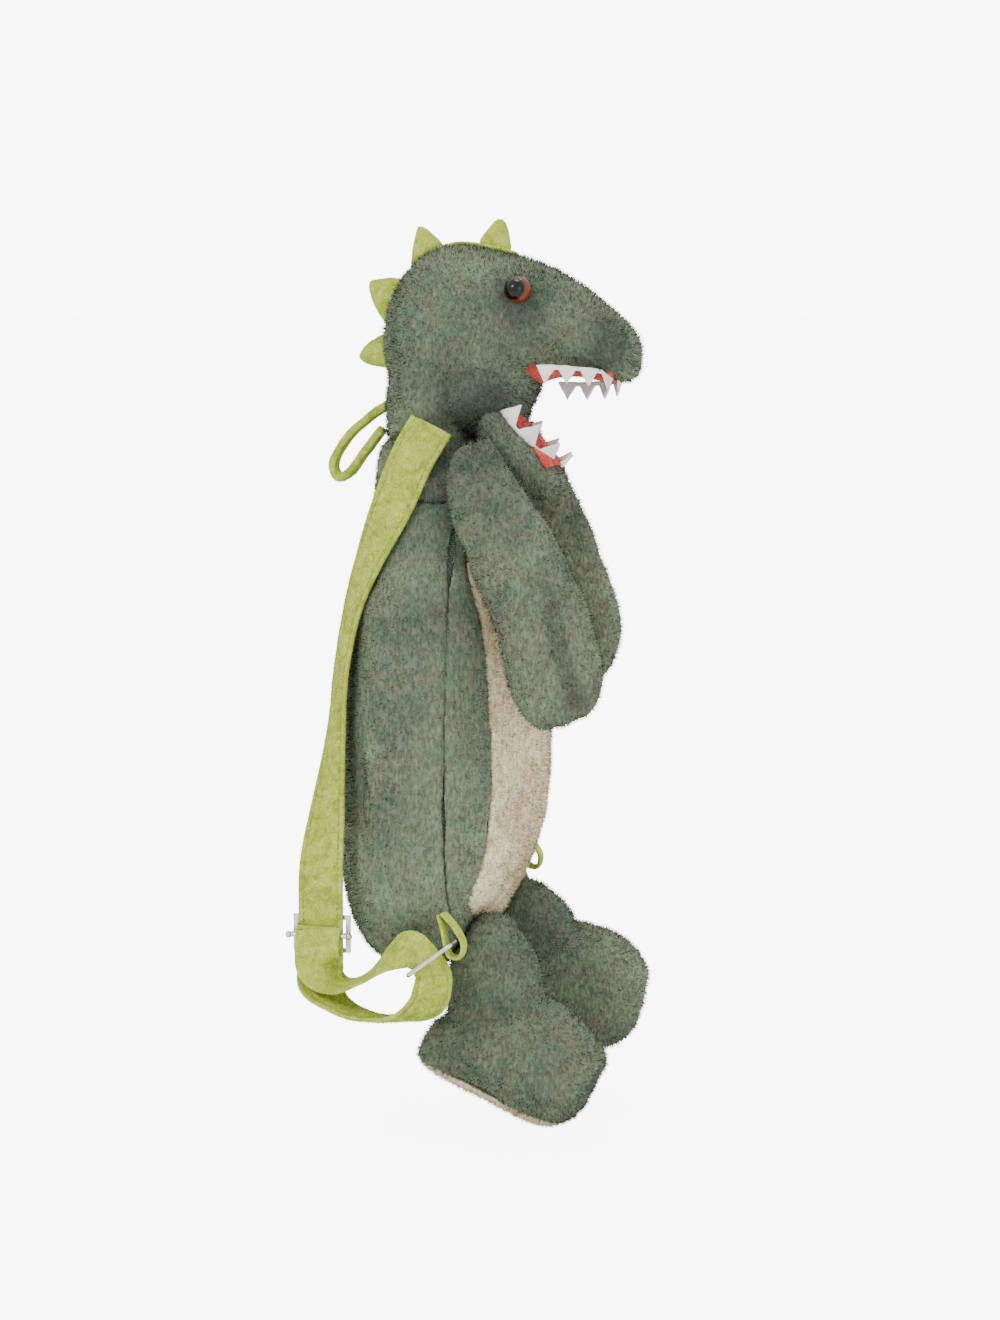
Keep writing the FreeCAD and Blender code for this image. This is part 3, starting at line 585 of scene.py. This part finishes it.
def head():
    """The head's skin and its stuffing."""
    skin = soft_copy("head_skin", ["head_shell", "head_stuffing"], 0.0021, 6, outer=True, pads=head_pads())
    heights = [lumps(0.0018, 0.035, 1), lumps(0.0007, 0.012, 2)]
    # Painted shade low under the head, by the root of the jaw.
    painted_shades = [spot(HEAD @ Vector((0.036, 0, 0.0)), 0.05, 0.4)]
    for side in (-1, 1):
        # Each side adds its hollows and its painted shade.
        hollows, dark = face(side)
        heights += hollows
        painted_shades += dark
    reshape(skin, together(*heights))
    filling("head_stuffing", "head", together(*heights))
    paint_shade(skin, together(*painted_shades))
    finish_piece(skin, "head", "green_plush", ["head_shell"])
    pile(skin, PILE_LENGTH, PILE_DENSITY, (-0.0035, 0, -0.002))


def jaw():
    """The lower jaw's skin and its stuffing."""
    skin = soft_copy("jaw_skin", ["lower_jaw", "lower_jaw_stuffing"], 0.002, 6, outer=True)
    height = together(lumps(0.0014, 0.025, 4), lumps(0.0005, 0.01, 5))
    reshape(skin, height)
    filling("lower_jaw_stuffing", "jaw", height)
    # Painted shade under the cheeks, at the root of the jaw.
    paint_shade(skin, spot(JAW @ Vector((0.004, 0, -0.008)), 0.03, 0.75))
    finish_piece(skin, "jaw", "green_plush", ["lower_jaw"])
    pile(skin, PILE_LENGTH, PILE_DENSITY, (-0.0025, 0, -0.003))


def mouth():
    """The red linings and the strips of felt teeth."""
    linings = (("palate_cloth", "palate_lining", "head"), ("tongue_cloth", "mouth_lining", "jaw"))
    for piece, node, body in linings:
        cloth = soft_copy(piece, [node], 0.0008, 3)
        reshape(cloth, lumps(0.0004, 0.009, 6))
        if body == "head":
            tuck_under_lip(cloth)
        finish_piece(cloth, body, "red_cloth", [node])
    for node, body in (("upper_teeth", "head"), ("lower_teeth", "jaw")):
        strip = soft_copy(f"{node}_felt", [node], 0.0005, 3)
        reshape(strip, lumps(0.0004, 0.006, 8))
        finish_piece(strip, body, "white_felt", [node])


LIP_HEIGHT = 0.0262
TUCK_SLOPE = 0.8
TUCK_STEP = 0.002


def tuck_under_lip(cloth):
    """The palate's edges turn in under the fur of the lip."""
    inverse = HEAD.inverted()
    for vertex in cloth.data.vertices:
        place = inverse @ vertex.co
        over = max(0, place.z - LIP_HEIGHT)
        place.y -= math.copysign(over * TUCK_SLOPE + min(over, TUCK_STEP), place.y)
        vertex.co = HEAD @ place


def crest():
    """The velour strip along the skull and the four padded spikes that it carries."""
    band = soft_copy("crest_band", ["crest_strip"], 0.0011, 4)
    reshape(band, lumps(0.0005, 0.012, 9))
    finish_piece(band, "head", "lime_velour", ["crest_strip"])
    pile(band, NAP_LENGTH, NAP_DENSITY, (0, 0, -0.0006))
    for number in range(1, 5):
        node = f"crest_spike_{number}"
        spike = soft_copy(f"crest_horn_{number}", [node], 0.001, 5)
        low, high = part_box(node)
        middle = (low + high) / 2
        swell = together(spot(middle, 0.013, 0.0022), lumps(0.0006, 0.009, 10 + number))
        reshape(spike, lambda place: 0.0012 + swell(place))
        finish_piece(spike, "head", "lime_velour", [node])
        pile(spike, NAP_LENGTH, NAP_DENSITY, (0, 0, 0.0006))


def bag_folds():
    """The side seams and the folds under the shoulders, pressed into the green panels."""
    folds = []
    for side in (-1, 1):
        seam = [Vector(place) for place in ((-0.007, side * 0.07, -0.178), (0.002, side * 0.07, -0.212),
                                            (0.010, side * 0.07, -0.250), (0.010, side * 0.06, -0.275),
                                            (0.014, side * 0.045, -0.292))]
        shoulder = [Vector((0.040, side * 0.055, -0.045)), Vector((0.046, side * 0.07, -0.105))]
        folds += [crease(seam, 0.0035, 0.005), crease(shoulder, 0.0012, 0.008)]
    return folds


def belly_folds():
    """The two long folds of the cream belly."""
    folds = []
    for side in (-1, 1):
        fold = [Vector(place) for place in ((0.088, side * 0.036, -0.13), (0.086, side * 0.034, -0.19),
                                            (0.078, side * 0.034, -0.25))]
        folds.append(crease(fold, 0.0022, 0.005))
    return folds


PANEL_SWELL = 0.0008


def torso():
    """The bag's five panels, each a skin of its own that rolls in at its seams."""
    soft = [lumps(0.0022, 0.05, 20), lumps(0.0009, 0.017, 21)]
    # Painted shade at the armpits and on the edges of the belly beside the arms.
    armpit_shade = [spot(Vector((0.056, side * 0.06, -0.03)), 0.035, 0.6) for side in (-1, 1)]
    belly_edge_shade = [spot(Vector((0.09, side * 0.052, -0.11)), 0.03, 0.55) for side in (-1, 1)]
    pieces = [(node.replace("panel", "skin"), node, "green_plush", soft + bag_folds(), armpit_shade)
              for node in NODES if node.endswith(("back_panel", "front_panel"))]
    pieces.append(("belly_skin", "belly_panel", "cream_plush", soft + belly_folds(), belly_edge_shade))
    for piece, node, slot, heights, dark in pieces:
        skin = soft_copy(piece, [node], 0.0019, 5)
        reshape(skin, lambda place: PANEL_SWELL + sum(height(place) for height in heights))
        # Painted shade, from the spots above.
        paint_shade(skin, together(*dark))
        finish_piece(skin, "bag", slot, [node])
        pile(skin, PILE_LENGTH * 0.85, PILE_DENSITY, (0, 0, -0.0035))


def neck():
    """The padded neck between the bag's shoulders and the head."""
    pads = [BAG @ Matrix.Translation((0.001, 0, 0.258)) @ Matrix.Diagonal((0.034, 0.053, 0.036, 1)),
            BAG @ Matrix.Translation((0.0, 0, 0.282)) @ Matrix.Diagonal((0.0235, 0.0405, 0.03, 1))]
    skin = soft_copy("neck_skin", [], 0.0022, 8, pads=pads)
    reshape(skin, together(lumps(0.0018, 0.03, 50), lumps(0.0008, 0.012, 51)))
    # Painted shade on the front of the neck, under the head.
    paint_shade(skin, spot(BAG @ Vector((0.03, 0, 0.285)), 0.045, 0.5))
    finish_piece(skin, "bag", "green_plush", [])
    tufts = pile(skin, PILE_LENGTH, PILE_DENSITY, (0, 0, -0.003))
    # Neither the skin nor its pile rides on one body.
    for piece in (skin, tufts):
        piece.parent = None
        del piece["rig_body"]
        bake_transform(piece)


def arms():
    """Both arms, with a deep fold between the fingers, painted shade along that fold and at the shoulder."""
    for word, side in SIDES.items():
        nodes = [f"{word}_arm", f"{word}_arm_stuffing"]
        skin = soft_copy(f"{word}_arm_skin", nodes, 0.0018, 6, outer=True)
        place = arm_frame(word)
        outside = points(place, (0.012, side * 0.016, -0.098), (0.009, side * 0.016, -0.135),
                         (0.008, side * 0.008, -0.16))
        inside = points(place, (0.012, -side * 0.016, -0.106), (0.008, -side * 0.008, -0.16))
        bend = points(place, (0.02, side * 0.014, -0.042), (0.004, side * 0.016, -0.052))
        heights = [lumps(0.0022, 0.028, 30 + side), lumps(0.0008, 0.011, 33), crease(outside, 0.0062, 0.0046),
                   crease(inside, 0.0042, 0.0045), crease(bend, 0.0025, 0.006)]
        reshape(skin, together(*heights))
        filling(f"{word}_arm_stuffing", f"{word}_arm", together(*heights))
        # Painted shade along the fold between the fingers and at the shoulder.
        dark = [lambda p, route=outside: 0.65 * math.exp(-(from_route(p, route) / 0.006) ** 2),
                spot(place @ Vector((0, side * 0.01, 0)), 0.025, 0.5)]
        paint_shade(skin, together(*dark))
        finish_piece(skin, f"{word}_arm", "green_plush", [f"{word}_arm"])
        pile(skin, PILE_LENGTH, PILE_DENSITY, (0.001, 0, -0.0035))


def leg_welts(place, side):
    """The double seam down the front of a leg and over its foot, as two raised lines."""
    welts = []
    for off in (-0.0035, 0.0035):
        line = points(place, (0.016, side * 0.006 + off, -0.012), (0.018, side * 0.006 + off, -0.04),
                      (0.024, side * 0.006 + off, -0.062), (0.046, side * 0.004 + off, -0.078),
                      (0.062, side * 0.003 + off, -0.1))
        welts.append(crease(line, -0.0016, 0.0022))
    return welts


def sole(word):
    """The cream sole under one foot."""
    cloth = soft_copy(f"{word}_sole_skin", [f"{word}_sole"], 0.0018, 4)
    reshape(cloth, lumps(0.0008, 0.02, 46))
    finish_piece(cloth, f"{word}_leg", "cream_plush", [f"{word}_sole"])
    pile(cloth, PILE_LENGTH * 0.8, PILE_DENSITY, (0, 0, -0.001))


THIGH = Vector((0.001, 0, -0.03))
THIGH_SIZE = (0.027, 0.0225, 0.042)


def legs():
    """Both legs with their feet, the thighs padded out to the hips."""
    for word, side in SIDES.items():
        place = leg_frame(word)
        ankle = points(place, (-0.02, side * 0.02, -0.056), (0.014, side * 0.026, -0.06))
        heights = [lumps(0.002, 0.035, 40 + side), lumps(0.0008, 0.012, 43), crease(ankle, 0.0008, 0.008)]
        thigh = place @ Matrix.Translation(THIGH) @ Matrix.Diagonal((*THIGH_SIZE, 1))
        skin = soft_copy(f"{word}_leg_skin", [f"{word}_leg"], 0.0019, 6, pads=[thigh])
        reshape(skin, together(*heights, *leg_welts(place, side)))
        filling(f"{word}_leg_stuffing", f"{word}_leg", together(*heights))
        # Painted shade at the hip, where the leg meets the bag.
        paint_shade(skin, spot(place @ Vector((0.01, 0, 0)), 0.03, 0.45))
        finish_piece(skin, f"{word}_leg", "green_plush", [f"{word}_leg"])
        pile(skin, PILE_LENGTH, PILE_DENSITY, (-0.001, 0, -0.003))
        sole(word)


# Straps. Routes in the bag's frame, in metres: x, y, z, how far the band is turned about its own line, and
# how much of its full width it has there.

STRAP_ROUTE = [
    (0.005, -0.0405, 0.297, 90, 1), (-0.003, -0.051, 0.280, 92, 1), (-0.012, -0.058, 0.256, 105, 1),
    (-0.025, -0.056, 0.228, 130, 1), (-0.036, -0.051, 0.200, 145, 1), (-0.042, -0.056, 0.165, 150, 1),
    (-0.044, -0.061, 0.130, 145, 1), (-0.046, -0.070, 0.095, 125, 1), (-0.047, -0.080, 0.066, 100, 1),
    (-0.047, -0.084, 0.052, 90, 1), (-0.047, -0.084, 0.030, 90, 1), (-0.047, -0.084, 0.009, 90, 1),
    (-0.047, -0.084, 0.003, 90, 1), (-0.047, -0.087, -0.006, 55, 1), (-0.038, -0.092, -0.015, 15, 1),
    (-0.022, -0.095, -0.0215, 0, 1), (0.000, -0.096, -0.022, -15, 1), (0.015, -0.097, -0.014, -50, 0.9),
    (0.0196, -0.0972, -0.001, -80, 0.82), (0.0184, -0.0972, 0.006, -90, 0.8),
    (0.016, -0.0972, 0.0092, -90, 0.76),
]
TAIL_ROUTE = [
    (0.016, -0.0972, 0.0092, -90, 0.76), (0.013, -0.0972, 0.0132, -88, 0.76),
    (0.005, -0.096, 0.0165, -60, 0.86),
    (-0.006, -0.094, 0.011, -25, 1), (-0.020, -0.092, -0.001, -5, 1), (-0.034, -0.0905, -0.0065, -10, 1),
    (-0.045, -0.0905, 0.001, -50, 1), (-0.0475, -0.0912, 0.010, -85, 1), (-0.047, -0.0916, 0.0205, -90, 1),
    (-0.047, -0.0889, 0.0234, -90, 1), (-0.047, -0.0864, 0.0205, -90, 1), (-0.047, -0.0864, 0.012, -90, 1),
]
TAB_ROUTE = [
    (0.0225, -0.0925, 0.034, 0, 1), (0.025, -0.096, 0.028, 0, 1), (0.0268, -0.0972, 0.0205, 0, 1),
    (0.029, -0.0972, 0.0145, 0, 1), (0.0345, -0.0965, 0.014, 0, 1), (0.036, -0.0955, 0.021, 0, 1),
    (0.031, -0.094, 0.0295, 0, 1), (0.024, -0.0925, 0.0365, 0, 1),
]
LOOP_ROUTE = [
    (-0.0042, 0.006, 0.004, 0, 1), (-0.015, 0.006, -0.0034, 0, 1), (-0.0274, 0.004, -0.015, 0, 1),
    (-0.0345, 0.001, -0.0283, 0, 1), (-0.0315, -0.002, -0.0363, 0, 1), (-0.0243, -0.004, -0.0335, 0, 1),
    (-0.015, -0.006, -0.022, 0, 1), (-0.005, -0.006, -0.009, 0, 1),
]
LEFT_LIFT = 0.016
LEFT_SHIFT = Vector((0, -0.005, -0.006))


def lifted(route):
    """The left strap is pulled tighter: its lower end is higher and its upper end further out."""
    stations = []
    for x, y, z, lean, wide in route:
        low = min(1, max(0, (0.110 - z) / 0.058))
        high = min(1, max(0, (z - 0.228) / 0.050))
        stations.append((x, y + LEFT_SHIFT.y * high, z + LEFT_SHIFT.z * high + LEFT_LIFT * low, lean, wide))
    return stations


def smooth_route(route, steps):
    """A smooth curve through the stations."""
    stations = []
    ends = [route[0]] + route + [route[-1]]
    for around in zip(ends, ends[1:], ends[2:], ends[3:]):
        for step in range(steps):
            t = step / steps
            weights = ((-t + 2 * t**2 - t**3) / 2, (2 - 5 * t**2 + 3 * t**3) / 2,
                       (t + 4 * t**2 - 3 * t**3) / 2, (-t**2 + t**3) / 2)
            stations.append([sum(weight * station[axis] for weight, station in zip(weights, around))
                             for axis in range(5)])
    return stations + [list(route[-1])]


def band_frames(route, matrix, mirror, steps):
    """Along a band: its middle, the way across it, the way through it and its share of the width."""
    stations = smooth_route(route, steps)
    spots = [Vector(station[:3]) for station in stations]
    frames = []
    flip = Matrix.Diagonal((1, -1 if mirror else 1, 1, 1))
    whole = matrix @ flip
    for number, station in enumerate(stations):
        along = (spots[min(number + 1, len(spots) - 1)] - spots[max(number - 1, 0)]).normalized()
        across = (Vector((0, 1, 0)) - along * along.y).normalized()
        across = Matrix.Rotation(math.radians(station[3]), 3, along) @ across
        through = along.cross(across)
        frames.append((whole @ spots[number], whole.to_3x3() @ across, whole.to_3x3() @ through, station[4]))
    return frames


STITCH_AT = 0.76
STITCH_DEPTH = 0.29


def band_profile(wide, thick, around=36):
    """The cross-section of a sewn tube of cloth: round edges, and a dip along each line of stitching."""
    outline = []
    for number in range(around):
        angle = 2 * math.pi * number / around
        across, through = math.cos(angle), math.sin(angle)
        u = math.copysign(abs(across) ** 0.62, across)
        body = math.copysign(abs(through) ** 0.42, through)
        dip = 1 - 0.5 * math.exp(-((abs(u) - STITCH_AT) / 0.07) ** 2)
        crown = 0.86 + 0.2 * (1 - u * u)
        outline.append((u * wide / 2, body * dip * crown * thick / 2))
    return outline


def band(piece, frames, wide, thick, seed):
    """A strap as one closed mesh: the profile drawn along the frames, a little uneven."""
    mesh = bmesh.new()
    rings = []
    profile = band_profile(wide, thick)
    for middle, across, through, share in frames:
        ring = []
        for u, v in profile:
            place = middle + across * (u * share) + through * v
            uneven = 1 + 0.16 * noise.noise(place / 0.008 + Vector((seed, 0, 0)))
            ring.append(mesh.verts.new(middle + across * (u * share) + through * (v * uneven)))
        rings.append(ring)
    count = len(profile)
    for near, far in zip(rings, rings[1:]):
        for number in range(count):
            after = (number + 1) % count
            mesh.faces.new((near[number], near[after], far[after], far[number]))
    mesh.faces.new(rings[0][::-1])
    mesh.faces.new(rings[-1])
    bmesh.ops.recalc_face_normals(mesh, faces=mesh.faces)
    data = bpy.data.meshes.new(piece)
    mesh.to_mesh(data)
    mesh.free()
    data.shade_smooth()
    return link(bpy.data.objects.new(piece, data))


def stitches(piece, frames, wide, thick, pitch=0.003):
    """Two rows of topstitching on each face: short threads that lie in the dips."""
    mesh = bmesh.new()
    travelled, due = 0.0, pitch
    for (start, *_), (middle, across, through, share) in zip(frames, frames[1:]):
        run = middle - start
        travelled += run.length
        if travelled < due or run.length < 1e-6:
            continue
        due += pitch
        along = run.normalized()
        for row in (-1, 1):
            for face in (-1, 1):
                out = row * STITCH_AT * wide / 2 * share
                centre = middle + across * out + through * (face * thick * STITCH_DEPTH)
                place = Matrix((along, across, through)).transposed().to_4x4()
                place.translation = centre
                shape = place @ Matrix.Diagonal((pitch * 0.36, 0.00035, 0.00035, 1))
                bmesh.ops.create_uvsphere(mesh, u_segments=6, v_segments=5, radius=1, matrix=shape)
    data = bpy.data.meshes.new(piece)
    mesh.to_mesh(data)
    mesh.free()
    data.shade_smooth()
    return link(bpy.data.objects.new(piece, data))


STRAP_WIDE, STRAP_THICK = 0.025, 0.0036
TAB_WIDE, TAIL_THICK = 0.0095, 0.0024
LOOP_WIDE, LOOP_THICK = 0.009, 0.0052
STRAP_NAP, STRAP_NAP_DENSITY = 0.0013, 1.5


def harness():
    """Both shoulder straps with their tails and tabs, and the carry loop."""
    for word, side in SIDES.items():
        left = side > 0
        routes = (STRAP_ROUTE, TAIL_ROUTE, TAB_ROUTE)
        strap_route, tail_route, tab_route = [lifted(route) if left else route for route in routes]
        frames = band_frames(strap_route, BAG, left, 14)
        strap = band(f"{word}_strap_band", frames, STRAP_WIDE, STRAP_THICK, 1)
        finish_piece(strap, "bag", "lime_velour", [f"{word}_strap"])
        pile(strap, STRAP_NAP, STRAP_NAP_DENSITY, (0, 0, -0.0005))
        thread = stitches(f"{word}_strap_stitches", frames, STRAP_WIDE, STRAP_THICK)
        finish_thread(thread, "bag")
        frames = band_frames(tail_route, BAG, left, 14)
        tail = band(f"{word}_tail_band", frames, STRAP_WIDE, TAIL_THICK, 2)
        tail.data.materials.append(MATERIALS["lime_velour"])
        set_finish(tail, "lime_velour")
        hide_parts(f"{word}_strap_tail")
        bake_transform(tail)
        tab = band(f"{word}_tab_band", band_frames(tab_route, BAG, left, 10), TAB_WIDE, TAIL_THICK, 3)
        finish_piece(tab, "bag", "lime_velour", [f"{word}_side_tab"])
    frames = band_frames(LOOP_ROUTE, Matrix.Identity(4), False, 14)
    loop = band("carry_loop_tube", frames, LOOP_WIDE, LOOP_THICK, 4)
    finish_piece(loop, "handle", "lime_velour", ["carry_loop"])
    pile(loop, NAP_LENGTH, NAP_DENSITY, (0, 0, -0.0005))


def finish_thread(obj, body):
    """Topstitching goes with the strap that it holds."""
    obj.data.materials.append(MATERIALS["thread"])
    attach(obj, body)
    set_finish(obj, "lime_velour")


def dress_nodes():
    """Pieces whose solid is already right keep it and get their finish."""
    for part in frame["record"]["subparts"]:
        node = NODES[part["node"]]
        if node.hide_render:
            continue
        made = MATERIALS[part["material_slot"]]
        node.data.materials.clear()
        node.data.materials.append(made)


# Stage

CAMERA_TARGET = Vector((0.0602, 0, -0.137))
CAMERA_WAY = Vector((0.2228, -0.9649, 0.1392))
CAMERA_REACH = 3.0
FIELD_WIDE = 0.5556


def camera():
    """The view of the right side, a little from the front and from above."""
    data = bpy.data.cameras.new("camera")
    data.sensor_width = 36
    data.sensor_fit = "HORIZONTAL"
    data.lens = data.sensor_width * CAMERA_REACH / FIELD_WIDE
    data.clip_end = 20
    eye = link(bpy.data.objects.new("camera", data))
    eye.location = CAMERA_TARGET + CAMERA_WAY.normalized() * CAMERA_REACH
    eye.rotation_euler = (-CAMERA_WAY).to_track_quat("-Z", "Y").to_euler()
    bpy.context.scene.camera = eye


def lamp(name, place, size, power):
    """A round soft light that looks at the object."""
    data = bpy.data.lights.new(name, "AREA")
    data.shape = "DISK"
    data.size = size
    data.energy = power
    light = link(bpy.data.objects.new(name, data))
    light.location = place
    light.rotation_euler = (CAMERA_TARGET - Vector(place)).to_track_quat("-Z", "Y").to_euler()


def shown_brighter(tree, socket, light, seen):
    """A backdrop that lights the object softly but looks white itself."""
    path = tree.nodes.new("ShaderNodeLightPath")
    level = tree.nodes.new("ShaderNodeMapRange")
    level.inputs["To Min"].default_value = light
    level.inputs["To Max"].default_value = seen
    tree.links.new(path.outputs["Is Camera Ray"], level.inputs["Value"])
    tree.links.new(level.outputs["Result"], socket)


def stage():
    """A plain pale floor in a pale surround, and three large soft lights."""
    mesh = bmesh.new()
    bmesh.ops.create_circle(mesh, cap_ends=True, segments=96, radius=6)
    data = bpy.data.meshes.new("floor")
    mesh.to_mesh(data)
    mesh.free()
    floor = link(bpy.data.objects.new("floor", data))
    floor.location.z = CAD_BOX[0][2] - 0.012
    made, tree, shader = material("pale_floor", (0.97, 0.97, 0.97), 0.9)
    shader.inputs["Emission Color"].default_value = (1, 1, 1, 1)
    shown_brighter(tree, shader.inputs["Emission Strength"], 0.0, 7)
    data.materials.append(made)
    world = bpy.data.worlds.new("surround")
    world.use_nodes = True
    sky = world.node_tree.nodes["Background"]
    sky.inputs["Color"].default_value = (1, 1, 1, 1)
    shown_brighter(world.node_tree, sky.inputs["Strength"], 1.5, 9)
    bpy.context.scene.world = world
    lamp("key_light", (-0.9, -1.9, 1.5), 1.0, 26)
    lamp("fill_light", (1.8, -1.5, 0.5), 1.4, 10)
    lamp("top_light", (0.2, 0.5, 2.2), 1.2, 20)


MATERIALS = build_materials()
camera()
stage()
head()
jaw()
mouth()
crest()
torso()
neck()
arms()
legs()
harness()
dress_nodes()
